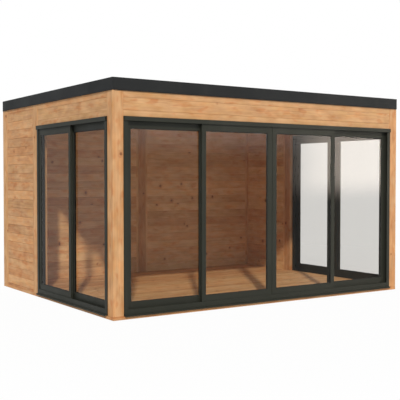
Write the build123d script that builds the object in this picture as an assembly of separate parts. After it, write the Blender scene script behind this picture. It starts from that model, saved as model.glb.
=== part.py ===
from build123d import *
import os

# Garden house with a flat roof: timber posts and framed board panels stand on a low base,
# and two-track sliding glass doors fill the front and the front half of each side wall.
# Units are millimetres. The origin is on the ground at the middle of the timber shell,
# +X runs to the right along the front, +Y runs from the front to the rear, +Z is up.

# Timber shell
house_width = 4000.0
house_depth = 3060.0
wall_height = 2270.0
post_size = 120.0
post_arris = 3.0
base_height = 36.0
side_door_length = 1790.0
header_height = 251.0

# Framed board panels
panel_recess = 3.0
field_recess = 2.0
panel_top_rail = 47.0
panel_bottom_rail = 27.0
panel_stile = 30.0
header_rail = 62.0

# Floor
bearer_width = 60.0
bearer_spacing = 490.0
bearer_rows = 7
deck_thickness = 24.0

# Roof
joist_width = 45.0
joist_height = 90.0
joist_count = 7
rim_thickness = 28.0
roof_deck_thickness = 18.0
membrane_thickness = 4.0
edge_batten_width = 60.0
edge_batten_height = 16.0
fascia_sheet = 2.0
fascia_flange = 70.0
drip_projection = 10.0
drip_height = 8.0
drip_corner_gap = 14.0

# Door extrusions, shared by every door unit
profile_wall = 3.0
jamb_face_width = 48.0
leaf_insertion = 10.0
head_face_height = 44.0
head_projection = 20.0
sill_face_top = 100.0
sill_lip_projection = 28.0
sill_lip_root = 48.0
sill_lip_fall = 5.0
sill_drip = 6.0
sill_channel_floor = 62.0
sill_fin_top = 90.0
track_rib_width = 4.0
track_rib_height = 10.0

# Door leaves
leaf_setback = 0.0
leaf_thickness = 30.0
closing_stile_width = 62.0
interlock_stile_width = 52.0
leaf_bottom_rail = 86.0
leaf_top_rail = 105.0
glass_thickness = 16.0
glass_edge = 12.0
bead_chamfer = 3.0

# Rollers under the sliding leaves
roller_groove_radius = 10.0
roller_groove_clearance = 1.0
roller_flange_radius = 12.5
roller_flange_slope = 1.0
roller_width = 10.0
roller_inset = 120.0
roller_pocket_length = 34.0
roller_pocket_side_gap = 2.0
axle_radius = 3.0
axle_side_gap = 0.1
axle_end_cover = 4.0

# Clearances, how far a cutting shape passes the piece, and how near counts as on an edge
run_gap = 5.0
seat_gap = 0.3
cut_margin = 1.0
edge_tolerance = 0.01

# Depths of the two tracks behind the outer wall face
lip_back = leaf_setback - run_gap
lip_front = lip_back - profile_wall
fin_front = leaf_setback + leaf_thickness + run_gap
fin_back = fin_front + profile_wall
inner_leaf_depth = fin_back + seat_gap
rear_lip_front = inner_leaf_depth + leaf_thickness + seat_gap
frame_back = rear_lip_front + profile_wall

# Levels shared by the door pieces
door_opening_top = wall_height - header_height
rib_top = sill_channel_floor + track_rib_height
leaf_bottom = rib_top + run_gap
inner_channel_floor = leaf_bottom - seat_gap
head_web_bottom = door_opening_top - 2 * profile_wall
leaf_top = head_web_bottom - run_gap
leaf_height = leaf_top - leaf_bottom
sight_foot = leaf_bottom_rail
sight_top = leaf_height - leaf_top_rail

# Levels of the floor and the roof
deck_top = base_height + deck_thickness
joist_top = wall_height + joist_height
roof_deck_top = joist_top + roof_deck_thickness
flange_foot = roof_deck_top + edge_batten_height
fascia_top = flange_foot + fascia_sheet

# Places of the four wall faces: along the wall is local X, into the house is local Y
front_face = Location((-house_width / 2, -house_depth / 2, 0))
rear_face = Location((house_width / 2, house_depth / 2, 0), (0, 0, 180))
left_face = Location((-house_width / 2, house_depth / 2, 0), (0, 0, -90))
right_face = Location((house_width / 2, -house_depth / 2, 0), (0, 0, 90))

front_door_length = house_width - 2 * post_size
front_door_start = post_size
left_door_start = house_depth - post_size - side_door_length
right_door_start = post_size
side_panel_length = house_depth - side_door_length - 3 * post_size
rear_panel_length = (house_width - 3 * post_size) / 2


def block(x0, x1, y0, y1, z0, z1):
    """Box between two corners."""
    return Pos(x0, y0, z0) * Box(x1 - x0, y1 - y0, z1 - z0, align=(Align.MIN, Align.MIN, Align.MIN))


def outline(points):
    """Face bounded by straight edges through the points."""
    return make_face(Polyline(*points, close=True))


def along_wall(section, length):
    """Extrusion of a (depth, height) section along local X."""
    return extrude(Plane.YZ * section, amount=length)


def framed_slab(length, bottom, top, stile, bottom_rail, top_rail):
    """Framed panel: rails and stiles with the board field slightly set back on both faces."""
    outer = panel_recess
    inner = post_size - panel_recess
    field_foot = bottom + bottom_rail
    field_top = top - top_rail
    slab = block(0, length, outer, inner, bottom, top)
    slab -= block(stile, length - stile, outer, outer + field_recess, field_foot, field_top)
    slab -= block(stile, length - stile, inner - field_recess, inner, field_foot, field_top)
    return slab


def wall_panel(length):
    """Full-height panel between two posts."""
    return framed_slab(length, base_height, wall_height, panel_stile, panel_bottom_rail, panel_top_rail)


def header_panel(length):
    """Panel over a door opening, its rails running from post to post."""
    return framed_slab(length, door_opening_top, wall_height, 0, header_rail, header_rail)


def post():
    """Square post with its four long edges eased."""
    timber = block(0, post_size, 0, post_size, base_height, wall_height)
    return chamfer(timber.edges().filter_by(Axis.Z), post_arris)


def corner_posts():
    """Square post at each corner of the shell."""
    near_x = -house_width / 2
    near_y = -house_depth / 2
    posts = []
    for x in (near_x, -near_x - post_size):
        for y in (near_y, -near_y - post_size):
            posts.append(Pos(x, y, 0) * post())
    return posts


def wall_posts():
    """Posts beside the side doors and the middle post of the rear wall."""
    left = left_face * Pos(left_door_start - post_size, 0, 0) * post()
    right = right_face * Pos(right_door_start + side_door_length, 0, 0) * post()
    rear = rear_face * Pos(post_size + rear_panel_length, 0, 0) * post()
    return [left, right, rear]


def base_beams_long():
    """Base beams under the front and rear walls."""
    beam = block(0, house_width, 0, post_size, 0, base_height)
    return [front_face * beam, rear_face * beam]


def base_beams_short():
    """Base beams under the side walls, between the long beams."""
    start = post_size + seat_gap
    beam = block(start, house_depth - start, 0, post_size, 0, base_height)
    return [left_face * beam, right_face * beam]


def floor_bearers():
    """Bearers that carry the deck, running from the front beam to the rear beam."""
    half = house_depth / 2 - post_size - seat_gap
    bearers = []
    for row in range(bearer_rows):
        x = (row - (bearer_rows - 1) / 2) * bearer_spacing
        bearers.append(block(x - bearer_width / 2, x + bearer_width / 2, -half, half, 0, base_height))
    return bearers


def floor_deck():
    """Deck over the bearers, reaching out to the door frames."""
    inside_x = house_width / 2 - post_size - seat_gap
    inside_y = house_depth / 2 - post_size - seat_gap
    reach = frame_back + seat_gap
    deck = block(-inside_x, inside_x, -inside_y, inside_y, base_height, deck_top)
    threshold_back = post_size + 2 * seat_gap
    front = block(seat_gap, front_door_length - seat_gap, reach, threshold_back, base_height, deck_top)
    side = block(seat_gap, side_door_length - seat_gap, reach, threshold_back, base_height, deck_top)
    deck += front_face * Pos(front_door_start, 0, 0) * front
    deck += left_face * Pos(left_door_start, 0, 0) * side
    deck += right_face * Pos(right_door_start, 0, 0) * side
    return deck


def joist_centres():
    """X positions of the roof joists, the end ones close inside the rim boards."""
    first = -house_width / 2 + rim_thickness + seat_gap + joist_width / 2
    step = -2 * first / (joist_count - 1)
    return [first + step * index for index in range(joist_count)]


def roof_joists():
    """Joists from the front rim board to the rear one, lying on the walls."""
    end = house_depth / 2 - rim_thickness - seat_gap
    joist = block(-joist_width / 2, joist_width / 2, -end, end, wall_height, joist_top)
    return [Pos(x, 0, 0) * joist for x in joist_centres()]


def edge_ring(width, bottom, top):
    """Four boards round the edge of the roof, the short ones between the long ones."""
    start = width + seat_gap
    long_board = block(0, house_width, 0, width, bottom, top)
    short_board = block(start, house_depth - start, 0, width, bottom, top)
    long_boards = [front_face * long_board, rear_face * long_board]
    return long_boards + [left_face * short_board, right_face * short_board]


def roof_deck():
    """Boarding on top of the joists."""
    half_x = house_width / 2
    half_y = house_depth / 2
    return block(-half_x, half_x, -half_y, half_y, joist_top, roof_deck_top)


def roof_membrane():
    """Waterproof sheet over the boarding, between the edge battens."""
    half_x = house_width / 2 - edge_batten_width - seat_gap
    half_y = house_depth / 2 - edge_batten_width - seat_gap
    return block(-half_x, half_x, -half_y, half_y, roof_deck_top, roof_deck_top + membrane_thickness)


def fascia(length):
    """Folded roof edge trim with mitred ends, a top flange and a drip at its foot."""
    outer = -seat_gap - fascia_sheet
    drip_face = outer - drip_projection
    drip_top = wall_height + drip_height
    section = outline(
        [
            (-seat_gap, wall_height),
            (-seat_gap, flange_foot),
            (outer + fascia_flange, flange_foot),
            (outer + fascia_flange, fascia_top),
            (outer, fascia_top),
            (outer, wall_height),
        ]
    )
    sheet = Pos(outer, 0, 0) * along_wall(section, length - 2 * outer)
    mitre = outline(
        [
            (outer, outer),
            (length - outer, outer),
            (length - outer - fascia_flange, outer + fascia_flange),
            (outer + fascia_flange, outer + fascia_flange),
        ]
    )
    mitre_foot = Pos(0, 0, wall_height - cut_margin)
    sheet = sheet & extrude(mitre_foot * mitre, amount=fascia_top - wall_height + 2 * cut_margin)
    drip_section = outline(
        [
            (outer, wall_height),
            (outer, drip_top),
            (drip_face, wall_height + fascia_sheet),
            (drip_face, wall_height),
        ]
    )
    drip = Pos(drip_corner_gap, 0, 0) * along_wall(drip_section, length - 2 * drip_corner_gap)
    return sheet + drip


def head_section():
    """Head of a door unit: a hollow nose, a web and three downstands."""
    top = door_opening_top
    foot = door_opening_top - head_face_height
    return outline(
        [
            (-head_projection, foot),
            (-head_projection, top),
            (frame_back, top),
            (frame_back, foot),
            (rear_lip_front, foot),
            (rear_lip_front, head_web_bottom),
            (fin_back, head_web_bottom),
            (fin_back, foot),
            (fin_front, foot),
            (fin_front, head_web_bottom),
            (lip_back, head_web_bottom),
            (lip_back, foot),
        ]
    )


def head_cells():
    """Hollow of the head's nose."""
    return outline(
        [
            (profile_wall - head_projection, door_opening_top - head_face_height + profile_wall),
            (profile_wall - head_projection, door_opening_top - profile_wall),
            (lip_front, door_opening_top - profile_wall),
            (lip_front, door_opening_top - head_face_height + profile_wall),
        ]
    )


def sill_section():
    """Sill of a door unit: upright face over a drip lip, outer channel with a track rib, inner seat."""
    rib_centre = leaf_setback + leaf_thickness / 2
    drip_foot = base_height - sill_drip
    lip_edge = -sill_lip_projection
    lip_edge_top = sill_lip_root - sill_lip_fall
    return outline(
        [
            (lip_edge, drip_foot),
            (lip_edge, lip_edge_top),
            (lip_front, sill_lip_root),
            (lip_front, sill_face_top),
            (lip_back, sill_face_top),
            (lip_back, sill_channel_floor),
            (rib_centre - track_rib_width / 2, sill_channel_floor),
            (rib_centre - track_rib_width / 2, rib_top),
            (rib_centre + track_rib_width / 2, rib_top),
            (rib_centre + track_rib_width / 2, sill_channel_floor),
            (fin_front, sill_channel_floor),
            (fin_front, sill_fin_top),
            (fin_back, sill_fin_top),
            (fin_back, inner_channel_floor),
            (rear_lip_front, inner_channel_floor),
            (rear_lip_front, sill_fin_top),
            (frame_back, sill_fin_top),
            (frame_back, base_height),
            (lip_front, base_height),
            (lip_front, sill_lip_root - profile_wall),
            (lip_edge + profile_wall, lip_edge_top - profile_wall),
            (lip_edge + profile_wall, drip_foot),
        ]
    )


def rectangle(y0, y1, z0, z1):
    """Rectangular section between two depths and two levels."""
    return outline([(y0, z0), (y0, z1), (y1, z1), (y1, z0)])


def sill_cells():
    """Hollows of the sill: the chambers under the two channels."""
    wall = profile_wall
    outer = rectangle(lip_back, fin_front, base_height + wall, sill_channel_floor - wall)
    inner = rectangle(fin_back, frame_back - wall, base_height + wall, inner_channel_floor - wall)
    return [outer, inner]


def door_head(length):
    """Head extrusion of a door unit."""
    return along_wall(head_section(), length) - along_wall(head_cells(), length)


def door_sill(length):
    """Sill extrusion of a door unit."""
    sill = along_wall(sill_section(), length)
    for cell in sill_cells():
        sill -= along_wall(cell, length)
    return sill


def jamb_section():
    """Jamb in plan: two pockets that take the edges of the leaves, and hollow cells."""
    wall = profile_wall
    leaf_edge = jamb_face_width - leaf_insertion
    outer_pocket = leaf_edge - run_gap
    inner_pocket = leaf_edge - seat_gap
    section = rectangle(0, jamb_face_width, lip_front, frame_back)
    section -= rectangle(outer_pocket, jamb_face_width, lip_back, fin_front)
    section -= rectangle(inner_pocket, jamb_face_width, fin_back, rear_lip_front)
    section -= rectangle(wall, outer_pocket - wall, lip_back, fin_front)
    section -= rectangle(wall, inner_pocket - wall, fin_back, rear_lip_front)
    return section


def door_jambs(length):
    """Pair of jambs, coped over the sill and under the head."""
    jamb = extrude(Pos(0, 0, base_height) * jamb_section(), amount=door_opening_top - base_height)
    for section in (sill_section(), head_section()):
        grown = offset(section, amount=seat_gap, kind=Kind.INTERSECTION)
        jamb -= Pos(-cut_margin, 0, 0) * along_wall(grown, jamb_face_width + 2 * cut_margin)
    other = Pos(length, 0, 0) * mirror(jamb, about=Plane.YZ)
    return [jamb, other]


def leaf_width(length, pairs):
    """Width of each leaf, where every pair of leaves shares one interlock."""
    clear = length - 2 * (jamb_face_width - leaf_insertion) - (pairs - 1) * run_gap
    return (clear / pairs + interlock_stile_width) / 2


def roller_places(width):
    """Centres of a sliding leaf's two rollers along the leaf."""
    return [roller_inset, width - roller_inset]


def roller_level():
    """Height of the roller axles over the foot of the leaf."""
    return rib_top + seat_gap + roller_groove_radius - leaf_bottom


def leaf_frame(width, left_stile, right_stile, slides):
    """Leaf frame with a glazing groove and, on a sliding leaf, pockets for the rollers."""
    sight_right = width - right_stile
    frame = block(0, width, 0, leaf_thickness, 0, leaf_height)
    frame -= block(left_stile, sight_right, 0, leaf_thickness, sight_foot, sight_top)
    frame = chamfer(sight_edges(frame, left_stile, sight_right), bead_chamfer)
    groove = (leaf_thickness - glass_thickness) / 2 - seat_gap
    groove_reach = glass_edge + seat_gap
    frame -= block(
        left_stile - groove_reach,
        sight_right + groove_reach,
        groove,
        leaf_thickness - groove,
        sight_foot - groove_reach,
        sight_top + groove_reach,
    )
    if slides:
        for x in roller_places(width):
            frame -= roller_pocket(x)
    return frame


def sight_edges(frame, left, right):
    """Inner edges on the two faces of a leaf frame."""
    edges = frame.edges().filter_by(Axis.Y, reverse=True)
    edges = edges.filter_by_position(Axis.X, left - edge_tolerance, right + edge_tolerance)
    return edges.filter_by_position(Axis.Z, sight_foot - edge_tolerance, sight_top + edge_tolerance)


def roller_pocket(x):
    """Pocket in the bottom rail with a cross bore for the axle."""
    half = roller_width / 2 + roller_pocket_side_gap
    middle = leaf_thickness / 2
    ceiling = roller_level() + roller_flange_radius + roller_pocket_side_gap
    half_length = roller_pocket_length / 2
    pocket = block(x - half_length, x + half_length, middle - half, middle + half, 0, ceiling)
    bore_depth = leaf_thickness - 2 * axle_end_cover
    bore = Cylinder(axle_radius + axle_side_gap, bore_depth, rotation=(90, 0, 0))
    return pocket + Pos(x, middle, roller_level()) * bore


def roller():
    """Grooved wheel and its axle, about the leaf's depth axis."""
    half = roller_width / 2
    groove_half = track_rib_width / 2 + roller_groove_clearance
    flange_half = groove_half + roller_flange_slope
    axle_half = leaf_thickness / 2 - axle_end_cover - seat_gap
    section = outline(
        [
            (0, -axle_half),
            (axle_radius, -axle_half),
            (axle_radius, -half),
            (roller_flange_radius, -half),
            (roller_flange_radius, -flange_half),
            (roller_groove_radius, -groove_half),
            (roller_groove_radius, groove_half),
            (roller_flange_radius, flange_half),
            (roller_flange_radius, half),
            (axle_radius, half),
            (axle_radius, axle_half),
            (0, axle_half),
        ]
    )
    return revolve(section, axis=Axis.Y)


def leaf_rollers(width):
    """Both rollers of a sliding leaf."""
    level = roller_level()
    return [Pos(x, leaf_thickness / 2, level) * roller() for x in roller_places(width)]


def leaf_glass(width, left_stile, right_stile):
    """Pane set into the glazing groove."""
    start = (leaf_thickness - glass_thickness) / 2
    return block(
        left_stile - glass_edge,
        width - right_stile + glass_edge,
        start,
        start + glass_thickness,
        sight_foot - glass_edge,
        sight_top + glass_edge,
    )


def leaf_starts(length, pairs):
    """Left edge of each leaf along the door unit, from left to right."""
    width = leaf_width(length, pairs)
    edge = jamb_face_width - leaf_insertion
    step = width - interlock_stile_width
    starts = [edge, edge + step]
    if pairs == 2:
        starts += [length - edge - width - step, length - edge - width]
    return starts


def add_leaf(nodes, name, face, start, length, pairs, index, slides, closes_left):
    """Frame, pane and rollers of one leaf, placed in its track."""
    width = leaf_width(length, pairs)
    depth = leaf_setback if slides else inner_leaf_depth
    left = closing_stile_width if closes_left else interlock_stile_width
    right = interlock_stile_width if closes_left else closing_stile_width
    place = face * Pos(start + leaf_starts(length, pairs)[index], depth, leaf_bottom)
    nodes[name + "_frame"] = [place * leaf_frame(width, left, right, slides)]
    pane = place * leaf_glass(width, left, right)
    if slides:
        nodes[name + "_glass"] = [pane]
        nodes[name + "_rollers"] = [place * wheel for wheel in leaf_rollers(width)]
    else:
        nodes.setdefault("fixed_leaf_glass", []).append(pane)


def add_door_unit(nodes, name, face, start, length):
    """Head, sill and jambs of one door unit."""
    place = face * Pos(start, 0, 0)
    nodes[name + "_door_head"] = [place * door_head(length)]
    nodes[name + "_door_sill"] = [place * door_sill(length)]
    nodes[name + "_door_jambs"] = [place * jamb for jamb in door_jambs(length)]


def add_walls(nodes):
    """Board panels beside, behind and over the doors."""
    side = wall_panel(side_panel_length)
    rear = wall_panel(rear_panel_length)
    right_start = right_door_start + side_door_length + post_size
    nodes["left_wall_panel"] = [left_face * Pos(post_size, 0, 0) * side]
    nodes["right_wall_panel"] = [right_face * Pos(right_start, 0, 0) * side]
    nodes["rear_wall_panel_left"] = [rear_face * Pos(2 * post_size + rear_panel_length, 0, 0) * rear]
    nodes["rear_wall_panel_right"] = [rear_face * Pos(post_size, 0, 0) * rear]
    front_header = header_panel(front_door_length)
    side_header = header_panel(side_door_length)
    nodes["front_header"] = [front_face * Pos(front_door_start, 0, 0) * front_header]
    nodes["left_header"] = [left_face * Pos(left_door_start, 0, 0) * side_header]
    nodes["right_header"] = [right_face * Pos(right_door_start, 0, 0) * side_header]


def add_doors(nodes):
    """The three door units and their eight leaves."""
    add_door_unit(nodes, "front", front_face, front_door_start, front_door_length)
    add_door_unit(nodes, "left", left_face, left_door_start, side_door_length)
    add_door_unit(nodes, "right", right_face, right_door_start, side_door_length)
    front = (front_face, front_door_start, front_door_length, 2)
    left = (left_face, left_door_start, side_door_length, 1)
    right = (right_face, right_door_start, side_door_length, 1)
    add_leaf(nodes, "front_fixed_leaf_left", *front, 0, False, True)
    add_leaf(nodes, "front_sliding_leaf_left", *front, 1, True, False)
    add_leaf(nodes, "front_sliding_leaf_right", *front, 2, True, True)
    add_leaf(nodes, "front_fixed_leaf_right", *front, 3, False, False)
    add_leaf(nodes, "left_sliding_leaf", *left, 0, True, True)
    add_leaf(nodes, "left_fixed_leaf", *left, 1, False, False)
    add_leaf(nodes, "right_fixed_leaf", *right, 0, False, True)
    add_leaf(nodes, "right_sliding_leaf", *right, 1, True, False)


def add_roof(nodes):
    """Flat roof with its edge trim."""
    nodes["roof_joists"] = roof_joists()
    nodes["roof_rim_boards"] = edge_ring(rim_thickness, wall_height, joist_top)
    nodes["roof_deck"] = [roof_deck()]
    nodes["roof_edge_battens"] = edge_ring(edge_batten_width, roof_deck_top, flange_foot)
    nodes["roof_membrane"] = [roof_membrane()]
    long_trim = fascia(house_width)
    short_trim = fascia(house_depth)
    nodes["fascia_front"] = [front_face * long_trim]
    nodes["fascia_rear"] = [rear_face * long_trim]
    nodes["fascia_left"] = [left_face * short_trim]
    nodes["fascia_right"] = [right_face * short_trim]


def build():
    """Every node of the house, by name."""
    nodes = {}
    nodes["base_beams_long"] = base_beams_long()
    nodes["base_beams_short"] = base_beams_short()
    nodes["floor_bearers"] = floor_bearers()
    nodes["floor_deck"] = [floor_deck()]
    nodes["corner_posts"] = corner_posts()
    nodes["wall_posts"] = wall_posts()
    add_walls(nodes)
    add_doors(nodes)
    add_roof(nodes)
    return nodes


os.makedirs("parts", exist_ok=True)
for node_name, solids in build().items():
    shape = solids[0] if len(solids) == 1 else Compound(children=solids)
    export_step(shape, f"parts/{node_name}.step")
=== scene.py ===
import math
import random

import bmesh
import bpy
import numpy as np
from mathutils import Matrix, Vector


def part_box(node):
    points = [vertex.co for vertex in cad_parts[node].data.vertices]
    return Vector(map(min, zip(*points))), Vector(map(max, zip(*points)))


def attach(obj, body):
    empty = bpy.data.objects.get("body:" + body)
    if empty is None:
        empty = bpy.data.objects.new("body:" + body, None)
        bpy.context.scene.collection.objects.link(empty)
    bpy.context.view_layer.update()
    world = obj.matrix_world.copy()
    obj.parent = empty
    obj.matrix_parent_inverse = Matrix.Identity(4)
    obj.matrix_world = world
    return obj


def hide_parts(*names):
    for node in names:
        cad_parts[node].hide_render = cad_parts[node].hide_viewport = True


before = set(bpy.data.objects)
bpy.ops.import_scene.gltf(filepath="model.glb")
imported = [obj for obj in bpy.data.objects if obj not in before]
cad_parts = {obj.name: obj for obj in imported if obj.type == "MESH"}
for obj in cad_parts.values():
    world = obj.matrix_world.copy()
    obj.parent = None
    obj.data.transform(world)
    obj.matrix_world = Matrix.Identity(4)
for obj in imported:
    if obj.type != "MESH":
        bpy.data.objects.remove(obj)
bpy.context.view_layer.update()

# Lengths are metres. X runs along the front, Y from the front to the rear, Z up.
HOUSE = "house"
X, Y, Z = 0, 1, 2
RIGHT_HANDED = ((X, Y, Z), (Y, Z, X), (Z, X, Y))  # orders of axes that keep faces outwards
HAIR = 0.0003  # seating gap between neighbouring pieces
SLIDING_LEAVES = (
    "front_sliding_leaf_left",
    "front_sliding_leaf_right",
    "left_sliding_leaf",
    "right_sliding_leaf",
)

# Boards and beams
EASE = 0.0022  # rounding of sawn edges
POST_EASE = 0.0030
END_EASE = 0.8  # rounding of the sawn ends, as a share of the edges'
SLOT_HALF = 0.0008  # half the open slot between two boards
SLOT_DEPTH = 0.008  # how far the slot goes in before the boards meet
SLOT_DEPTH_SHARE = 0.35  # the most that the slot takes of a board's thickness
BOARD_VEE = 0.0028  # bevel of a wall board along its joint
FLOOR_VEE = 0.0028
VEE_RANGE = (0.45, 1.15)  # bevels differ between boards
WALL_BOARD = 0.108
WALL_TOP_RAIL = 0.047
WALL_BOTTOM_RAIL = 0.027
HEADER_RAIL = 0.062
PANEL_STILE = 0.030
BOARD_SETBACK = 0.0016  # boards behind the face of the rails
FLOOR_BOARD = 0.118
CEILING_BOARD = 0.112

# Where the wood was sawn from, and how light it is: tone runs from -1, pale, to 1, dark
LOG_REACH = 60.0  # length of log that the pieces are spread along
HEART_SPREAD = 0.02  # how far the pith strays from the middle of a post
PITH_BEYOND = (0.03, 0.11)  # distance of the pith from the face of a board
PITH_ACROSS = (-0.1, 1.1)  # its place across the board's width
TONE_SPREAD = 0.12  # difference between pieces that share a tone
POST_TONE = -0.25
WALL_POST_TONE = -0.15
BASE_TONE = 0.05
HEADER_RAIL_TONE = -0.30
HEADER_BOARD_TONE = -0.10

# Noise in the wood: waves per metre along the fibres, across the face and through the thickness
FIBRES = (9.0, 420.0, 420.0)
STREAKS = (1.6, 46.0, 46.0)
PATCHES = (4.0, 9.0, 9.0)
BLOTCHES = (9.0, 21.0, 21.0)
SLOW_YEARS = (0.9, 7.0, 7.0)
LOG_BEND = (0.55, 2.0, 2.0)
ORANGE_PARTS = (5.0, 15.0, 15.0)
YELLOW_PARTS = (4.0, 12.0, 12.0)
RESIN_SPOTS = (7.0, 16.0, 16.0)

# Growth rings: rings and wider bands per metre, wander of the pith, and bulge round a knot
RINGS = 190.0
BANDS = 41.0
BEND_ACROSS = 0.085
BEND_THROUGH = 0.030
KNOT_BULGE = 0.006
LATE_RISE = (0.25, 0.86)  # late wood within a ring: it darkens slowly and ends sharply
LATE_FALL = (1.0, 0.93)
BAND_RISE = (0.10, 0.75)
BAND_FALL = (1.0, 0.80)

# Knots stand in random cells round the log
KNOT_RATE = 2.6  # cells per metre of log
KNOT_TURN = 0.55  # radius of the ring of cells
KNOT_REACH = 0.22  # how far from that ring the middle of a knot's cell may lie
KNOT_SCATTER = 0.6
KNOT_SMALL = 0.006
KNOT_LARGE = 0.014
KNOT_WAVES = 60.0  # unevenness of the outline, per metre
KNOT_OUTLINE = (0.78, 1.25)

# Where the core, the dark rim and the surroundings of a knot end and begin, in radii of the knot
CORE_EDGE = (1.15, 0.70)
RIM_WIDTH = 0.34
RIM_SHARE = (0.35, 1.0)  # some knots have a faint rim
HALO_EDGE = (3.8, 0.9)
CELL_EDGE = (0.50, 0.30)  # surroundings end before the next knot's cell

# Wood colours, what darkens them, and the share of the cells that hold a knot
ORANGE_TINT = (1.0, 0.86, 0.72, 1.0)
YELLOW_TINT = (0.975, 0.975, 0.86, 1.0)
RESIN_TINT = (0.90, 0.70, 0.56, 1.0)
HUE_PULL = 0.13  # how far a board's own hue makes it more orange or more yellow
SHADE_MIDDLE = 0.24  # mean place of the wood between its pale and its dark colour
CLOUD_WEIGHTS = (0.14, 0.24, 0.66, 0.46)  # of fibres, streaks, patches and blotches
LATE_WEIGHT = 0.18
BAND_WEIGHT = 0.10
HALO_WEIGHT = 0.20
TONE_WEIGHT = 0.22
OUTSIDE_KNOTS = 0.22
INSIDE_KNOTS = 0.36

# Metal, rubber, felt and glass
NOISE_RANGE = (0.3, 0.7)  # most values of a noise lie within it
DUST = (0.14, 0.13, 0.11, 1.0)
COAT_SPECULAR = 0.10
GLASS_CLEAR = (0.893, 0.888, 0.878, 1.0)
GLASS_INDEX = 1.45
GLASS_MIRROR = 0.34  # share of the Fresnel reflection that shows
WHITE = (1.0, 1.0, 1.0, 1.0)

# Glazing gaskets
SIGHT_COVER = 0.012  # width of the pane that stands in the leaf's groove
GASKET_WIDTH = 0.0045
GASKET_DEPTH = 0.0035
# Section of the gasket, in shares of its width and depth
GASKET_PROFILE = ((0.0, 0.0), (0.0, 1.0), (0.35, 1.05), (0.8, 0.6), (1.0, 0.12), (1.0, 0.0))

# Brush seals of the doors
HEAD_NOSE = 0.020  # the head's nose in front of the wall face
LIP_BACK = -0.005  # back of the front lip, measured inwards from the wall face
FIN_FRONT = 0.035  # front of the fin between the two tracks
FIN_DROP = 0.010  # how much lower the sill's fin ends than its face
JAMB_FACE = 0.0485  # from the ends of a unit to its level seals
POCKET_MOUTH = 0.044  # and to its upright seals
SEAL_REACH = 0.0042
SEAL_SPREAD = 0.0046
SEAL_STEP = 0.024
SEAL_ROOT = 0.0002  # how far the bristles are sunk into the metal
SEAL_WEAR = 0.86  # length of the shortest bristles, as a share
SEAL_LEAN = 0.08  # this and the two half widths below are shares of the spread
SEAL_ROOT_HALF = 0.5
SEAL_TIP_HALF = 0.36
LEAF_SEAL_REACH = 0.0074
LEAF_SEAL_INSET = 0.026

# Roof sheets
SHEET_COUNT = 4
SHEET_LAP = 0.09
SHEET_THICK = 0.0028
SHEET_STEP = 0.0012
LAP_BEVEL = 0.004  # bevel of a sheet's upper edge
LAP_DIP = (0.006, 0.012)  # where a sheet bends down, before and behind the edge below it
UPSTAND_THICK = 0.002

# Studio. The floor's shadow fades out between the two distances from the middle of the house.
SKY_TINT = (0.86, 0.93, 1.0, 1.0)
SKY_STRENGTH = 0.50
SUN_WAY = (0.5875, 1.0, -0.745)
SUN_TINT = (1.0, 0.88, 0.71)
SUN_STRENGTH = 2.5
SUN_ANGLE = 0.048
FLOOR_COLOUR = (0.82, 0.82, 0.81, 1.0)
FLOOR_REACH = 300.0
FLOOR_LEVEL = -0.0005
FLOOR_WHITE = 0.96  # share of plain white under the house
SHADOW_RANGE = (3.2, 7.0)
SOFTBOX_Y = -10.6
SOFTBOX_TOP = 4.8
SOFTBOX_RISE = 0.8
SOFTBOX_FADE = 2.0
CAMERA_PLACE = (-5.59539, -8.42659, 1.41229)
CAMERA_TILT = 88.3711  # degrees from straight down
CAMERA_TURN = -33.829  # degrees from the view straight at the front
CAMERA_LENS = 71.074  # millimetres, as the sensor's width
CAMERA_SENSOR = 36.0
CAMERA_FAR = 1000.0


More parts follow.
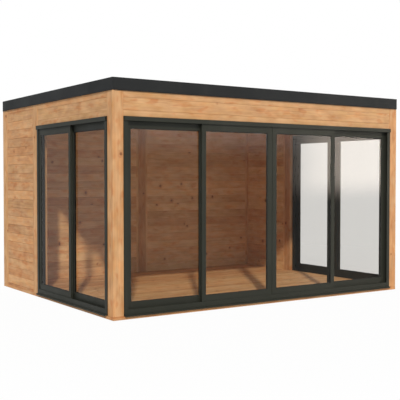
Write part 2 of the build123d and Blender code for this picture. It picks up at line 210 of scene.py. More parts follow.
class Tree:
    """Short calls for building the nodes of a material or of the world."""

    def __init__(self, owner, output="ShaderNodeOutputMaterial"):
        self.owner = owner
        owner.use_nodes = True
        self.nodes = owner.node_tree.nodes
        self.links = owner.node_tree.links
        self.nodes.clear()
        self.output = self.nodes.new(output)

    def make(self, kind, settings=None, **inputs):
        node = self.nodes.new(kind)
        for key, value in (settings or {}).items():
            setattr(node, key, value)
        for key, value in inputs.items():
            self.put(node.inputs[key.replace("_", " ")], value)
        return node

    def put(self, socket, value):
        if isinstance(value, bpy.types.NodeSocket):
            self.links.new(value, socket)
        else:
            socket.default_value = value

    def math(self, operation, *values):
        node = self.nodes.new("ShaderNodeMath")
        node.operation = operation
        for socket, value in zip(node.inputs, values):
            self.put(socket, value)
        return node.outputs[0]

    def times(self, product, *factors):
        for factor in factors:
            product = self.math("MULTIPLY", product, factor)
        return product

    def weigh(self, start, parts):
        """start plus the weighted sum of (weight, value) parts."""
        total = start
        for weight, value in parts:
            total = self.math("MULTIPLY_ADD", value, weight, total)
        return total

    def vector(self, operation, first, second=(0, 0, 0)):
        node = self.nodes.new("ShaderNodeVectorMath")
        node.operation = operation
        self.put(node.inputs[0], first)
        self.put(node.inputs[1], second)
        return node.outputs["Value"] if operation == "LENGTH" else node.outputs[0]

    def join(self, x, y, z):
        node = self.nodes.new("ShaderNodeCombineXYZ")
        for socket, value in zip(node.inputs, (x, y, z)):
            self.put(socket, value)
        return node.outputs[0]

    def split(self, vector):
        node = self.nodes.new("ShaderNodeSeparateXYZ")
        self.put(node.inputs[0], vector)
        return node.outputs

    def coordinates(self):
        return self.nodes.new("ShaderNodeTexCoord").outputs["Object"]

    def attribute(self, name):
        return self.make("ShaderNodeAttribute", {"attribute_name": name}).outputs["Vector"]

    def noise(self, vector, scale, detail=2.0, roughness=0.5):
        """Noise of one scale, or of one scale for each axis."""
        if isinstance(scale, tuple):
            vector = self.vector("MULTIPLY", vector, scale)
            scale = 1.0
        settings = {"Vector": vector, "Scale": scale, "Detail": detail, "Roughness": roughness}
        return self.make("ShaderNodeTexNoise", **settings).outputs["Fac"]

    def span(self, value, low, high, out_low=0.0, out_high=1.0, smooth=True):
        """Maps low to high onto out_low to out_high, and stays within that range."""
        node = self.nodes.new("ShaderNodeMapRange")
        node.interpolation_type = "SMOOTHSTEP" if smooth else "LINEAR"
        for socket, number in zip(node.inputs[:5], (value, low, high, out_low, out_high)):
            self.put(socket, number)
        return node.outputs[0]

    def mix(self, share, first, second, blend="MIX"):
        node = self.nodes.new("ShaderNodeMix")
        node.data_type = "RGBA"
        node.blend_type = blend
        node.clamp_factor = True
        colours = [socket for socket in node.inputs if socket.type == "RGBA"]
        self.put(node.inputs["Factor"], share)
        self.put(colours[0], first)
        self.put(colours[1], second)
        return next(socket for socket in node.outputs if socket.type == "RGBA")

    def tinge(self, share, body, tint):
        """Multiplies a colour by a tint, as far as the share says."""
        return self.mix(share, body, self.mix(1.0, body, tint, "MULTIPLY"))

    def bump(self, height, distance, strength):
        node = self.make("ShaderNodeBump", Height=height, Distance=distance, Strength=strength)
        return node.outputs[0]

    def principled(self, **inputs):
        node = self.make("ShaderNodeBsdfPrincipled", **inputs)
        self.links.new(node.outputs[0], self.output.inputs["Surface"])
        return self.owner

    def blend_shaders(self, share, first, second):
        both = self.make("ShaderNodeMixShader")
        self.put(both.inputs[0], share)
        self.links.new(first.outputs[0], both.inputs[1])
        self.links.new(second.outputs[0], both.inputs[2])
        self.links.new(both.outputs[0], self.output.inputs["Surface"])
        return self.owner

    def add_shaders(self, first, second):
        both = self.make("ShaderNodeAddShader")
        self.links.new(first.outputs[0], both.inputs[0])
        self.links.new(second.outputs[0], both.inputs[1])
        self.links.new(both.outputs[0], self.output.inputs["Surface"])
        return self.owner

    def seen(self):
        """1 on the rays of the camera, of reflections and of panes."""
        path = self.nodes.new("ShaderNodeLightPath").outputs
        mirrored = self.math("MAXIMUM", path["Is Camera Ray"], path["Is Glossy Ray"])
        return self.math("MAXIMUM", mirrored, path["Is Transmission Ray"])


def material_tree(name):
    return Tree(bpy.data.materials.new(name))


def colour(red, green, blue):
    """Linear colour from the 0 to 255 values that a screen shows."""
    values = []
    for part in (red, green, blue):
        part /= 255
        values.append(part / 12.92 if part <= 0.04045 else ((part + 0.055) / 1.055) ** 2.4)
    return (*values, 1.0)


def scaled(shade, factor):
    """A colour made lighter or darker."""
    return (*(part * factor for part in shade[:3]), 1.0)


def knot_masks(t, grain, share):
    """Branches that grow outwards from the pith: masks of their core, dark rim and surroundings."""
    along, across, through = t.split(grain)
    outwards = t.join(0.0, across, through)
    way = t.vector("NORMALIZE", outwards)
    turned = t.vector("MULTIPLY", way, (0.0, KNOT_TURN, KNOT_TURN))
    place = t.vector("ADD", turned, t.join(t.times(along, KNOT_RATE), 0.0, 0.0))
    cells = t.make("ShaderNodeTexVoronoi", Vector=place, Scale=1.0, Randomness=KNOT_SCATTER)
    centre = cells.outputs["Position"]
    chance, kind, _ = t.split(cells.outputs["Color"])
    branch = t.vector("MULTIPLY", centre, (0.0, 1.0, 1.0))
    off = t.math("ABSOLUTE", t.math("SUBTRACT", t.vector("LENGTH", branch), KNOT_TURN))
    chosen = t.math("GREATER_THAN", chance, 1 - share)
    present = t.times(t.math("LESS_THAN", off, KNOT_REACH), chosen)
    apart = t.vector("LENGTH", t.vector("SUBTRACT", way, t.vector("NORMALIZE", branch)))
    sideways = t.times(apart, t.vector("LENGTH", outwards))
    lengthways = t.math("SUBTRACT", along, t.math("DIVIDE", t.split(centre)[0], KNOT_RATE))
    reach = t.vector("LENGTH", t.join(lengthways, sideways, 0.0))
    reach = t.times(reach, t.span(t.noise(grain, KNOT_WAVES), 0.25, 0.75, *KNOT_OUTLINE))
    size = t.span(chance, 1 - share, 1.0, KNOT_SMALL, KNOT_LARGE, smooth=False)
    ratio = t.math("DIVIDE", reach, size)
    core = t.times(t.span(ratio, *CORE_EDGE), present)
    from_rim = t.math("ABSOLUTE", t.math("SUBTRACT", ratio, 1.0))
    rim = t.times(t.span(from_rim, RIM_WIDTH, 0.0), present, t.span(kind, 0.3, 0.8, *RIM_SHARE))
    within = t.span(cells.outputs["Distance"], *CELL_EDGE)
    halo = t.times(t.span(ratio, *HALO_EDGE), present, within)
    return core, rim, halo


def growth_rings(t, grain, halo):
    """Late wood of each ring and the wider bands of slow years, bent round the knots."""
    _, across, through = t.split(grain)
    slow = t.noise(grain, SLOW_YEARS, 3.0, 0.55)
    drift = t.noise(grain, LOG_BEND, 1.0)
    ring_y = t.weigh(t.math("SUBTRACT", across, BEND_ACROSS / 2), [(BEND_ACROSS, drift)])
    ring_z = t.weigh(t.math("SUBTRACT", through, BEND_THROUGH / 2), [(BEND_THROUGH, slow)])
    radius = t.weigh(t.vector("LENGTH", t.join(0.0, ring_y, ring_z)), [(KNOT_BULGE, halo)])
    year = t.math("FRACT", t.times(radius, RINGS))
    late = t.times(t.span(year, *LATE_RISE), t.span(year, *LATE_FALL))
    decade = t.math("FRACT", t.times(radius, BANDS))
    band = t.times(t.span(decade, *BAND_RISE), t.span(decade, *BAND_FALL))
    return late, band


def wood_material(name, pale, dark, knot_share):
    """Softwood sawn from a log: rings round a pith, fibres, knots, and a tone for each board."""
    t = material_tree(name)
    grain = t.attribute("grain")
    tone, hue, _ = t.split(t.attribute("board"))
    core, rim, halo = knot_masks(t, grain, knot_share)
    late, band = growth_rings(t, grain, halo)

    fibre = t.noise(grain, FIBRES, 2.0)
    streak = t.noise(grain, STREAKS, 3.0, 0.6)
    patch = t.noise(grain, PATCHES, 1.0)
    blotch = t.noise(grain, BLOTCHES, 1.0)
    clouds = list(zip(CLOUD_WEIGHTS, (fibre, streak, patch, blotch)))
    growth = [(LATE_WEIGHT, late), (BAND_WEIGHT, band), (HALO_WEIGHT, halo)]
    start = SHADE_MIDDLE - sum(CLOUD_WEIGHTS) / 2
    body = t.mix(t.weigh(start, clouds + growth + [(TONE_WEIGHT, tone)]), pale, dark)
    orange = t.weigh(t.noise(grain, ORANGE_PARTS), [(HUE_PULL, hue)])
    body = t.tinge(t.span(orange, 0.42, 0.70, 0.0, 0.90), body, ORANGE_TINT)
    yellow = t.weigh(t.noise(grain, YELLOW_PARTS), [(-HUE_PULL, hue)])
    body = t.tinge(t.span(yellow, 0.45, 0.72, 0.0, 0.80), body, YELLOW_TINT)
    resin = t.noise(grain, RESIN_SPOTS, 1.0)
    body = t.tinge(t.span(resin, 0.57, 0.72, 0.0, 0.75), body, RESIN_TINT)
    body = t.mix(t.times(halo, 0.40), body, colour(186, 118, 70))
    body = t.mix(t.times(core, 0.80), body, colour(112, 66, 38))
    body = t.mix(t.times(rim, 0.85), body, colour(58, 33, 20))

    rough = t.span(t.weigh(streak, [(0.5, late)]), 0.2, 1.2, 0.74, 0.56)
    height = t.weigh(0.0, [(0.55, fibre), (0.35, late), (-0.8, rim)])
    return t.principled(
        Base_Color=body,
        Roughness=rough,
        Specular_IOR_Level=0.28,
        Normal=t.bump(height, 0.0006, 0.55),
    )


def coated_metal(name, shade, roughness):
    """Powder coat: fine orange peel, a little dust and slightly uneven sheen."""
    t = material_tree(name)
    place = t.coordinates()
    fleck = t.noise(place, 2600.0, 1.0)
    cloud = t.noise(place, 2.2, 3.0, 0.6)
    dust = t.noise(place, (6.0, 6.0, 1.2), 4.0, 0.65)
    body = t.mix(t.span(fleck, 0.35, 0.75, 0.0, 0.22), shade, scaled(shade, 1.55))
    body = t.mix(t.span(cloud, 0.35, 0.70, 0.0, 0.25), body, scaled(shade, 0.80))
    body = t.mix(t.span(dust, 0.52, 0.80, 0.0, 0.08), body, DUST)
    sheen = t.span(cloud, *NOISE_RANGE, roughness - 0.05, roughness + 0.06)
    return t.principled(
        Base_Color=body,
        Roughness=t.weigh(sheen, [(0.05, fleck)]),
        Specular_IOR_Level=COAT_SPECULAR,
        Normal=t.bump(t.noise(place, 900.0), 0.00012, 0.5),
    )


def rubber_material(name, low, high, scale):
    """Black rubber, or black bristles where the scale is fine."""
    t = material_tree(name)
    fine = t.noise(t.coordinates(), scale, 3.0)
    return t.principled(
        Base_Color=t.mix(fine, low, high),
        Roughness=t.span(fine, *NOISE_RANGE, 0.62, 0.78),
        Specular_IOR_Level=0.3,
        Normal=t.bump(fine, 0.0002, 0.4),
    )


def felt_material(name):
    """Roofing sheet: crushed mineral on bitumen."""
    t = material_tree(name)
    place = t.coordinates()
    grit = t.noise(place, 520.0, 2.0, 0.7)
    cells = t.make("ShaderNodeTexVoronoi", Vector=place, Scale=420.0).outputs["Distance"]
    cloud = t.noise(place, 1.7, 5.0, 0.6)
    stain = t.noise(place, (0.8, 3.0, 1.0), 4.0, 0.6)
    body = t.mix(t.span(grit, 0.3, 0.75), colour(58, 60, 61), colour(96, 98, 98))
    body = t.mix(t.span(cloud, 0.3, 0.75, 0.0, 0.45), body, colour(70, 71, 72))
    body = t.mix(t.span(stain, 0.5, 0.8, 0.0, 0.30), body, colour(108, 106, 101))
    return t.principled(
        Base_Color=body,
        Roughness=t.span(grit, *NOISE_RANGE, 0.82, 0.95),
        Specular_IOR_Level=0.22,
        Normal=t.bump(t.weigh(grit, [(0.7, cells)]), 0.0012, 0.7),
    )


def nylon_material(name):
    """Pale moulded nylon of the rollers."""
    t = material_tree(name)
    fine = t.noise(t.coordinates(), 300.0, 3.0)
    return t.principled(
        Base_Color=t.mix(fine, colour(205, 203, 194), colour(222, 220, 212)),
        Roughness=t.span(fine, *NOISE_RANGE, 0.34, 0.46),
        Subsurface_Weight=0.05,
        Normal=t.bump(fine, 0.0001, 0.3),
    )


def glass_material(name):
    """Pane: light goes through with a slight tint, and the outer face mirrors by Fresnel."""
    t = material_tree(name)
    place = t.coordinates()
    film = t.noise(place, (3.0, 3.0, 1.4), 4.0, 0.6)
    clear = t.make("ShaderNodeBsdfTransparent", Color=GLASS_CLEAR)
    shine = t.make(
        "ShaderNodeBsdfGlossy",
        Color=WHITE,
        Roughness=t.span(film, 0.4, 0.8, 0.0, 0.035),
        Normal=t.bump(t.noise(place, 2.4, 1.0), 0.002, 0.25),
    )
    fresnel = t.make("ShaderNodeFresnel", IOR=GLASS_INDEX).outputs[0]
    behind = t.nodes.new("ShaderNodeNewGeometry").outputs["Backfacing"]
    share = t.times(fresnel, GLASS_MIRROR, t.math("SUBTRACT", 1.0, behind))
    return t.blend_shaders(share, clear, shine)


WOOD = wood_material("spruce", colour(214, 171, 127), colour(150, 102, 64), OUTSIDE_KNOTS)
# The knotty copy is painted lighter than the outer wood. This is painted light that makes up for
# the weaker light on the floor, the ceiling and the walls in shade.
KNOTTY_LIGHTENED_WOOD = wood_material(
    "knotty_spruce_lightened", colour(247, 210, 164), colour(182, 132, 88), INSIDE_KNOTS
)
FRAME_COAT = coated_metal("anthracite_frame", (0.0240, 0.0266, 0.0218, 1.0), 0.48)
TRIM_COAT = coated_metal("anthracite_trim", (0.0165, 0.0185, 0.0205, 1.0), 0.58)
RUBBER = rubber_material(
    "black_rubber", (0.010, 0.010, 0.010, 1.0), (0.022, 0.022, 0.021, 1.0), 700.0
)
# Near black pile of the brush seals. It is partly their own colour and partly painted shade that
# deepens the empty track under the head and the overlaps of the leaves.
BRISTLE_AND_SHADE = rubber_material(
    "black_bristle_and_shade", (0.004, 0.004, 0.004, 1.0), (0.030, 0.030, 0.029, 1.0), 2400.0
)
FELT = felt_material("mineral_felt")
NYLON = nylon_material("nylon")
GLASS = glass_material("tinted_glass")

# Material of the CAD's own solids, by how the node's name ends
CAD_FINISHES = (
    ("_door_head", FRAME_COAT),
    ("_door_sill", FRAME_COAT),
    ("_door_jambs", FRAME_COAT),
    ("_frame", FRAME_COAT),
    ("_glass", GLASS),
    ("_rollers", NYLON),
)


def solids(node):
    """Boxes of the separate solids in one CAD node, as (low, high) arrays, sorted by place."""
    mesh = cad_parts[node].data
    points = np.array([tuple(v.co) for v in mesh.vertices])
    keys, first = np.unique(np.round(points, 6), axis=0, return_inverse=True)
    first = first.reshape(-1)
    parent = list(range(len(keys)))

    def root(index):
        while parent[index] != index:
            parent[index] = parent[parent[index]]
            index = parent[index]
        return index

    for polygon in mesh.polygons:
        corners = [first[v] for v in polygon.vertices]
        for other in corners[1:]:
            parent[root(other)] = root(corners[0])
    groups = {}
    for index in range(len(keys)):
        groups.setdefault(root(index), []).append(keys[index])
    boxes = [(np.min(group, axis=0), np.max(group, axis=0)) for group in groups.values()]
    return sorted(boxes, key=lambda box: tuple(np.round(box[0], 3)))


def corners_of(node):
    """Low and high corner of a CAD node as arrays."""
    low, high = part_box(node)
    return np.array(low, float), np.array(high, float)


def on_axis(axis, length):
    """Vector of one length along one axis."""
    way = np.zeros(3)
    way[axis] = length
    return way


def turn_outwards(mesh):
    """Turns every face of closed shells outwards."""
    work = bmesh.new()
    work.from_mesh(mesh)
    bmesh.ops.recalc_face_normals(work, faces=work.faces)
    work.to_mesh(mesh)
    work.free()


def add_object(name, verts, faces, material, outwards=False):
    """New mesh piece with one material, in one slot."""
    mesh = bpy.data.meshes.new(name)
    mesh.from_pydata([tuple(v) for v in verts], [], faces)
    mesh.validate()
    mesh.materials.append(material)
    if outwards:
        turn_outwards(mesh)
    piece = bpy.data.objects.new(name, mesh)
    bpy.context.scene.collection.objects.link(piece)
    return piece


def store_vectors(piece, name, values):
    """Keeps one vector for each vertex of a piece, for its material to read."""
    attribute = piece.data.attributes.new(name, "FLOAT_VECTOR", "POINT")
    attribute.data.foreach_set("vector", np.array(values, np.float32).ravel())


def eased_ring(w, h, ease):
    """Section of a sawn timber with eased edges."""
    return [
        (ease, 0),
        (w - ease, 0),
        (w, ease),
        (w, h - ease),
        (w - ease, h),
        (ease, h),
        (0, h - ease),
        (0, ease),
    ]


def jointed_ring(w, h, bevel):
    """Section of a board that meets its neighbours behind a bevelled slot on both faces."""
    gap = SLOT_HALF
    deep = min(SLOT_DEPTH, SLOT_DEPTH_SHARE * h)
    face = [(gap, bevel), (gap + bevel, 0), (w - gap - bevel, 0), (w - gap, bevel)]
    joint = [(w - gap, deep), (w, deep), (w, h - deep), (w - gap, h - deep)]
    return face + joint + [(w - a, h - b) for a, b in face + joint]


class Timber:
    """Collects boards and beams, each sawn from its own place in a log."""

    def __init__(self, seed):
        self.random = random.Random(seed)
        self.verts = []
        self.faces = []
        self.grain = []
        self.board = []

    def pith(self, w, h, heart):
        """Middle of the log in the section: inside the timber, or beyond one of its faces."""
        if heart:
            across = w / 2 + self.random.uniform(-HEART_SPREAD, HEART_SPREAD)
            return across, h / 2 + self.random.uniform(-HEART_SPREAD, HEART_SPREAD)
        beyond = self.random.uniform(*PITH_BEYOND)
        level = self.random.choice((h + beyond, -beyond))
        return w * self.random.uniform(*PITH_ACROSS), level

    def tone(self, tone):
        """A tone near the one given, or any tone."""
        if tone is None:
            return self.random.uniform(-1.0, 1.0)
        return tone + self.random.uniform(-TONE_SPREAD, TONE_SPREAD)

    def add(self, low, high, axis, ease=EASE, tone=None, heart=False, joint=None, vee=BOARD_VEE):
        """One piece between two corners, fibres along axis. Boards meet across the joint axis."""
        low, high = np.array(low, float), np.array(high, float)
        size = high - low
        others = [k for k in (X, Y, Z) if k != axis]
        wide, thin = sorted(others, key=lambda k: (k != joint, -size[k]))
        w, h = size[wide], size[thin]
        bevel = vee * self.random.uniform(*VEE_RANGE)
        ring = eased_ring(w, h, ease) if joint is None else jointed_ring(w, h, bevel)
        inset = ease * END_EASE
        inner = [(min(max(a, inset), w - inset), min(max(b, inset), h - inset)) for a, b in ring]
        shift = self.random.uniform(0.0, LOG_REACH)
        pith = self.pith(w, h, heart)
        board = (self.tone(tone), self.random.uniform(-1.0, 1.0), 0.0)
        layers = [
            (low[axis], inner),
            (low[axis] + inset, ring),
            (high[axis] - inset, ring),
            (high[axis], inner),
        ]
        start = len(self.verts)
        for place, loop in layers:
            for a, b in loop:
                point = on_axis(axis, place)
                point[wide] = low[wide] + a
                point[thin] = low[thin] + b
                self.verts.append(point)
                self.grain.append((place + shift, a - pith[0], b - pith[1]))
                self.board.append(board)
        self.close(start, len(ring), len(layers), (wide, thin, axis) in RIGHT_HANDED)

    def close(self, start, count, layers, forwards):
        """Faces between the layers of a piece and over its two ends."""
        for layer in range(layers - 1):
            for k in range(count):
                a = start + layer * count + k
                b = start + layer * count + (k + 1) % count
                self.face((a, b, b + count, a + count), forwards)
        last = start + (layers - 1) * count
        self.face(tuple(range(start + count - 1, start - 1, -1)), forwards)
        self.face(tuple(range(last, last + count)), forwards)

    def face(self, corners, forwards):
        self.faces.append(corners if forwards else corners[::-1])

    def finish(self, name, node, material):
        """The piece, shown in place of its CAD node."""
        piece = add_object(name, self.verts, self.faces, material)
        store_vectors(piece, "grain", self.grain)
        store_vectors(piece, "board", self.board)
        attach(piece, HOUSE)
        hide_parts(node)


def beams(name, node, seed, heart=False, tone=None, ease=EASE):
    """A piece with one eased beam for each solid of a CAD node, fibres along its longest side."""
    timber = Timber(seed)
    for low, high in solids(node):
        timber.add(low, high, int(np.argmax(high - low)), heart=heart, tone=tone, ease=ease)
    timber.finish(name, node, WOOD)


def wall_axes(low, high):
    """(axis along the wall, axis through it) of a panel."""
    return (X, Y) if high[X] - low[X] > high[Y] - low[Y] else (Y, X)


def slice_between(low, high, axis, start, end):
    """The part of a box between two places on one axis."""
    a, b = low.copy(), high.copy()
    a[axis] = start
    b[axis] = end
    return a, b


def board_rows(timber, low, high, run, through, rows, tone=None):
    """Horizontal boards with bevelled joints that fill the space between two corners."""
    step = (high[Z] - low[Z]) / rows
    for row in range(rows):
        top = high[Z] - row * step
        a, b = slice_between(low, high, Z, top - step, top)
        a[through] += BOARD_SETBACK
        b[through] -= BOARD_SETBACK
        timber.add(a, b, run, joint=Z, tone=tone)


def wall_panel(name, node, seed, material):
    """Framed panel: two stiles, two rails and horizontal boards between them."""
    low, high = corners_of(node)
    run, through = wall_axes(low, high)
    timber = Timber(seed)
    for start in (low[run], high[run] - PANEL_STILE):
        timber.add(*slice_between(low, high, run, start, start + PANEL_STILE), Z, tone=0.0)
    low, high = slice_between(low, high, run, low[run] + PANEL_STILE, high[run] - PANEL_STILE)
    foot = low[Z] + WALL_BOTTOM_RAIL
    head = high[Z] - WALL_TOP_RAIL
    timber.add(*slice_between(low, high, Z, low[Z], foot), run)
    timber.add(*slice_between(low, high, Z, head, high[Z]), run)
    rows = round((head - foot) / WALL_BOARD)
    board_rows(timber, *slice_between(low, high, Z, foot, head), run, through, rows)
    timber.finish(name, node, material)


def header_panel(name, node, seed):
    """Two rails with one board between them over a door."""
    low, high = corners_of(node)
    run, through = wall_axes(low, high)
    foot = low[Z] + HEADER_RAIL
    head = high[Z] - HEADER_RAIL
    timber = Timber(seed)
    timber.add(*slice_between(low, high, Z, low[Z], foot), run, tone=HEADER_RAIL_TONE)
    timber.add(*slice_between(low, high, Z, head, high[Z]), run, tone=HEADER_RAIL_TONE)
    board = slice_between(low, high, Z, foot, head)
    board_rows(timber, *board, run, through, 1, tone=HEADER_BOARD_TONE)
    timber.finish(name, node, WOOD)


def flat_boards(name, node, seed, pitch, zones):
    """Boards side by side, fibres along X, over each (low, high) zone of a deck."""
    timber = Timber(seed)
    for low, high in zones:
        low, high = np.array(low, float), np.array(high, float)
        rows = max(1, round((high[Y] - low[Y]) / pitch))
        step = (high[Y] - low[Y]) / rows
        for row in range(rows):
            start = low[Y] + row * step
            board = slice_between(low, high, Y, start, start + step)
            timber.add(*board, X, joint=Y, vee=FLOOR_VEE)
    timber.finish(name, node, KNOTTY_LIGHTENED_WOOD)


def floor_zones():
    """The deck's three areas: behind the front sill, between the side doors, and the rear part."""
    low, high = corners_of("floor_deck")
    post_end = solids("corner_posts")[0][1]
    inner_x = -post_end[X] - HAIR
    inner_y = -post_end[Y] - HAIR
    front_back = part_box("front_door_sill")[1].y + HAIR
    left_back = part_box("left_door_sill")[1].x + HAIR
    right_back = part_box("right_door_sill")[0].x - HAIR
    side_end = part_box("left_door_sill")[1].y - HAIR
    return [
        ((-inner_x, front_back, low[Z]), (inner_x, -inner_y, high[Z])),
        ((left_back, -inner_y, low[Z]), (right_back, side_end, high[Z])),
        ((-inner_x, side_end, low[Z]), (inner_x, inner_y, high[Z])),
    ]


def build_timber():
    beams("posts_corner", "corner_posts", 11, heart=True, tone=POST_TONE, ease=POST_EASE)
    beams("posts_wall", "wall_posts", 12, heart=True, tone=WALL_POST_TONE, ease=POST_EASE)
    beams("base_beams_front_rear", "base_beams_long", 13, tone=BASE_TONE)
    beams("base_beams_side", "base_beams_short", 14, tone=BASE_TONE)
    beams("bearers", "floor_bearers", 15)
    beams("joists", "roof_joists", 16)
    beams("rim_boards", "roof_rim_boards", 17)
    beams("edge_battens", "roof_edge_battens", 18)
    wall_panel("boards_left", "left_wall_panel", 21, WOOD)
    wall_panel("boards_right", "right_wall_panel", 22, KNOTTY_LIGHTENED_WOOD)
    wall_panel("boards_rear_left", "rear_wall_panel_left", 23, KNOTTY_LIGHTENED_WOOD)
    wall_panel("boards_rear_right", "rear_wall_panel_right", 24, KNOTTY_LIGHTENED_WOOD)
    header_panel("header_boards_front", "front_header", 31)
    header_panel("header_boards_left", "left_header", 32)
    header_panel("header_boards_right", "right_header", 33)
    flat_boards("floor_boards", "floor_deck", 41, FLOOR_BOARD, floor_zones())
    flat_boards("roof_boards", "roof_deck", 42, CEILING_BOARD, [corners_of("roof_deck")])


def paint(item, material):
    item.data.materials.clear()
    item.data.materials.append(material)


def paint_cad():
    """Gives the CAD's metal, panes and rollers their materials."""
    for node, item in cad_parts.items():
        for ending, material in CAD_FINISHES:
            if node.endswith(ending):
                paint(item, material)
        if node.startswith("fascia"):
            paint(item, TRIM_COAT)


def ring_sweep(verts, faces, low, high, a_axis, b_axis, c_axis, profile):
    """Sweeps a closed profile of (inward, place on c) points round a rectangle, mitred."""
    start = len(verts)
    corners = [
        (low[a_axis], low[b_axis], 1, 1),
        (high[a_axis], low[b_axis], -1, 1),
        (high[a_axis], high[b_axis], -1, -1),
        (low[a_axis], high[b_axis], 1, -1),
    ]
    for a, b, a_sign, b_sign in corners:
        for inward, place in profile:
            point = on_axis(c_axis, place)
            point[a_axis] = a + a_sign * inward
            point[b_axis] = b + b_sign * inward
            verts.append(point)
    count = len(profile)
    for corner in range(len(corners)):
        here = start + corner * count
        there = start + (corner + 1) % len(corners) * count
        for k in range(count):
            following = (k + 1) % count
            faces.append((here + k, here + following, there + following, there + k))


def gaskets(name, node, body):
    """Rubber wedge between the leaf frame and the pane, on both faces of each pane."""
    verts, faces = [], []
    for low, high in solids(node):
        through = int(np.argmin(high - low))
        run = X if through == Y else Y
        a, b = low.copy(), high.copy()
        for k in (run, Z):
            a[k] += SIGHT_COVER
            b[k] -= SIGHT_COVER
        for face, depth in ((low[through], -GASKET_DEPTH), (high[through], GASKET_DEPTH)):
            profile = [(GASKET_WIDTH * out, face + depth * up) for out, up in GASKET_PROFILE]
            ring_sweep(verts, faces, a, b, run, Z, through, profile)
    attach(add_object(name, verts, faces, RUBBER, outwards=True), body)


class Brush:
    """Strips of bristles that close the gap between a leaf and the metal round it. Their near black
    is partly their own colour and partly painted shade that deepens the empty track and the
    overlaps.
    """

    def __init__(self, seed):
        self.random = random.Random(seed)
        self.verts = []
        self.faces = []

    def strip(self, start, end, reach, spread):
        """Bristles from start to end that reach out along one vector and spread along another."""
        root = reach / np.linalg.norm(reach) * SEAL_ROOT
        steps = round(np.linalg.norm(end - start) / SEAL_STEP)
        first = len(self.verts)
        for step in range(steps + 1):
            foot = start + (end - start) * step / steps
            tip = foot + reach * self.random.uniform(SEAL_WEAR, 1.0)
            lean = spread * self.random.uniform(-SEAL_LEAN, SEAL_LEAN)
            self.verts.append(foot - root - spread * SEAL_ROOT_HALF)
            self.verts.append(foot - root + spread * SEAL_ROOT_HALF)
            self.verts.append(tip + lean + spread * SEAL_TIP_HALF)
            self.verts.append(tip + lean - spread * SEAL_TIP_HALF)
        for step in range(steps):
            a = first + step * 4
            for k in range(4):
                b = (k + 1) % 4
                self.faces.append((a + k, a + b, a + 4 + b, a + 4 + k))
        for end_face in (first, first + steps * 4):
            self.faces.append(tuple(range(end_face, end_face + 4)))

    def finish(self, name):
        piece = add_object(name, self.verts, self.faces, BRISTLE_AND_SHADE, outwards=True)
        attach(piece, HOUSE)


def door_seals(unit, run, depth, inward, seed):
    """Brush seals of one door unit, on the head, the sill and both jambs."""
    brush = Brush(seed)
    low, high = corners_of(unit + "_door_head")
    sill_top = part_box(unit + "_door_sill")[1].z
    face = low[depth] + HEAD_NOSE if inward > 0 else high[depth] - HEAD_NOSE

    def place(along, behind, level):
        return on_axis(run, along) + on_axis(depth, face + inward * behind) + on_axis(Z, level)

    ends = (low[run] + JAMB_FACE, high[run] - JAMB_FACE)
    mouths = (low[run] + POCKET_MOUTH, high[run] - POCKET_MOUTH)
    for behind, reach, drop in ((LIP_BACK, SEAL_REACH, 0.0), (FIN_FRONT, -SEAL_REACH, FIN_DROP)):
        toward = on_axis(depth, inward * reach)
        for level in (low[Z] + SEAL_SPREAD, sill_top - SEAL_SPREAD - drop):
            start, end = (place(along, behind, level) for along in ends)
            brush.strip(start, end, toward, on_axis(Z, SEAL_SPREAD))
        for mouth in mouths:
            foot = place(mouth, behind, sill_top + SEAL_SPREAD)
            top = place(mouth, behind, low[Z] - SEAL_SPREAD)
            brush.strip(foot, top, toward, on_axis(run, SEAL_SPREAD))
    brush.finish("brush_seals_" + unit)


def leaf_seal(brush, unit, leaf, run, depth, inward, at_high_end):
    """Upright brush seal on a fixed leaf, in the overlap with its sliding neighbour."""
    low, high = corners_of(leaf)
    foot = on_axis(run, high[run] - LEAF_SEAL_INSET if at_high_end else low[run] + LEAF_SEAL_INSET)
    foot[depth] = low[depth] if inward > 0 else high[depth]
    top = foot.copy()
    foot[Z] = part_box(unit + "_door_sill")[1].z + SEAL_SPREAD
    top[Z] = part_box(unit + "_door_head")[0].z - SEAL_SPREAD
    reach = on_axis(depth, -inward * LEAF_SEAL_REACH)
    brush.strip(foot, top, reach, on_axis(run, SEAL_SPREAD))


def build_seals():
    gaskets("gaskets_fixed", "fixed_leaf_glass", HOUSE)
    for leaf in SLIDING_LEAVES:
        gaskets("gaskets_" + leaf, leaf + "_glass", leaf)
    door_seals("front", X, Y, 1, 51)
    door_seals("left", Y, X, 1, 52)
    door_seals("right", Y, X, -1, 53)
    brush = Brush(54)
    leaf_seal(brush, "front", "front_fixed_leaf_left_frame", X, Y, 1, True)
    leaf_seal(brush, "front", "front_fixed_leaf_right_frame", X, Y, 1, False)
    leaf_seal(brush, "left", "left_fixed_leaf_frame", Y, X, 1, True)
    leaf_seal(brush, "right", "right_fixed_leaf_frame", Y, X, -1, True)
    brush.finish("brush_seals_leaves")


def felt_sheets():
    """Roof sheets laid side by side from the left, each lapping the one before it."""
    low, high = corners_of("roof_membrane")
    pitch = (high[X] - low[X] - SHEET_LAP) / SHEET_COUNT
    top = high[Z] - SHEET_STEP
    before, after = LAP_DIP
    verts, faces = [], []
    for index in range(SHEET_COUNT):
        start = low[X] + index * pitch
        end = start + pitch + SHEET_LAP
        rise = SHEET_STEP if index else 0.0
        line = [
            (start, top + rise - SHEET_THICK / 2),
            (start + LAP_BEVEL, top + rise),
            (start + SHEET_LAP - before, top + rise),
            (start + SHEET_LAP + after, top),
            (end, top),
            (end, low[Z]),
            (start, low[Z]),
        ]
        base = len(verts)
        for y in (low[Y], high[Y]):
            verts.extend((x, y, z) for x, z in line)
        count = len(line)
        for k in range(count):
            following = (k + 1) % count
            corners = (k, following, count + following, count + k)
            faces.append(tuple(base + corner for corner in corners))
        faces.append(tuple(range(base, base + count)))
        faces.append(tuple(range(base + 2 * count - 1, base + count - 1, -1)))
    piece = add_object("roof_sheets", verts, faces, FELT, outwards=True)
    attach(piece, HOUSE)
    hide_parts("roof_membrane")


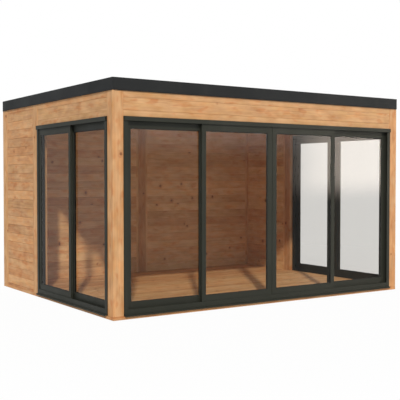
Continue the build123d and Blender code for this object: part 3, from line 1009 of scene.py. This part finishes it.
def felt_upstand():
    """Strip of felt turned up against the edge battens, under the flange of the trim."""
    low, high = corners_of("roof_membrane")
    foot = high[Z] - SHEET_STEP
    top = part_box("roof_edge_battens")[1].z - HAIR
    profile = [(0.0, foot), (0.0, top), (UPSTAND_THICK, top), (UPSTAND_THICK * 2, foot)]
    verts, faces = [], []
    ring_sweep(verts, faces, low, high, X, Y, Z, profile)
    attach(add_object("roof_upstand", verts, faces, FELT, outwards=True), HOUSE)


def build_world():
    """Pale sky light that shows as plain white to the camera, in reflections and through panes."""
    world = bpy.data.worlds.new("studio")
    bpy.context.scene.world = world
    t = Tree(world, "ShaderNodeOutputWorld")
    light = t.make("ShaderNodeBackground", Color=SKY_TINT, Strength=SKY_STRENGTH)
    white = t.make("ShaderNodeBackground", Color=WHITE, Strength=1.0)
    t.blend_shaders(t.seen(), light, white)


def stage_mesh(name, corners, material):
    """Flat four-cornered surface of the studio."""
    mesh = bpy.data.meshes.new(name)
    mesh.from_pydata(corners, [], [(0, 1, 2, 3)])
    mesh.materials.append(material)
    item = bpy.data.objects.new(name, mesh)
    bpy.context.scene.collection.objects.link(item)
    return item


def build_floor():
    """White floor that still takes the shadow of the house."""
    t = material_tree("studio_floor")
    plain = t.make("ShaderNodeBsdfDiffuse", Color=FLOOR_COLOUR)
    glow = t.make("ShaderNodeEmission", Color=WHITE, Strength=1.0)
    share = t.span(t.vector("LENGTH", t.coordinates()), *SHADOW_RANGE, FLOOR_WHITE, 1.0)
    material = t.blend_shaders(t.times(share, t.seen()), plain, glow)
    turns = ((-1, -1), (1, -1), (1, 1), (-1, 1))
    corners = [(x * FLOOR_REACH, y * FLOOR_REACH, FLOOR_LEVEL) for x, y in turns]
    stage_mesh("studio_floor", corners, material)


def build_softbox(name, left, right, foot, tint, strength):
    """Glowing panel behind the camera that the front panes mirror, fading out on all four sides."""
    t = material_tree(name)
    x, _, z = t.split(t.coordinates())
    rise = t.span(z, foot, foot + SOFTBOX_RISE)
    rise = t.times(rise, t.span(z, SOFTBOX_TOP, SOFTBOX_TOP / 2))
    sides = t.span(x, left, left + SOFTBOX_FADE)
    sides = t.times(sides, t.span(x, right, right - SOFTBOX_FADE))
    glow = t.make("ShaderNodeEmission", Color=tint, Strength=t.times(rise, sides, strength))
    clear = t.make("ShaderNodeBsdfTransparent", Color=WHITE)
    corners = [
        (left, SOFTBOX_Y, foot),
        (right, SOFTBOX_Y, foot),
        (right, SOFTBOX_Y, SOFTBOX_TOP),
        (left, SOFTBOX_Y, SOFTBOX_TOP),
    ]
    panel = stage_mesh(name, corners, t.add_shaders(glow, clear))
    panel.visible_diffuse = False
    panel.visible_camera = False


def build_sun():
    lamp = bpy.data.lights.new("sun", "SUN")
    lamp.energy = SUN_STRENGTH
    lamp.color = SUN_TINT
    lamp.angle = SUN_ANGLE
    holder = bpy.data.objects.new("sun", lamp)
    holder.rotation_euler = Vector(SUN_WAY).to_track_quat("-Z", "Y").to_euler()
    bpy.context.scene.collection.objects.link(holder)


def build_camera():
    camera = bpy.data.cameras.new("camera")
    camera.sensor_width = CAMERA_SENSOR
    camera.lens = CAMERA_LENS
    camera.clip_end = CAMERA_FAR
    eye = bpy.data.objects.new("camera", camera)
    eye.location = CAMERA_PLACE
    eye.rotation_euler = (math.radians(CAMERA_TILT), 0.0, math.radians(CAMERA_TURN))
    bpy.context.scene.collection.objects.link(eye)
    bpy.context.scene.camera = eye


build_timber()
paint_cad()
build_seals()
felt_sheets()
felt_upstand()

bpy.context.scene.view_settings.view_transform = "Standard"
build_world()
build_floor()
build_softbox("softbox_right", 7.6, 20.0, 0.7, (1.0, 0.86, 0.73, 1.0), 17.0)
build_softbox("softbox_top", -2.0, 9.6, 1.8, (0.95, 0.98, 1.0, 1.0), 4.0)
build_sun()
build_camera()

bpy.context.view_layer.update()
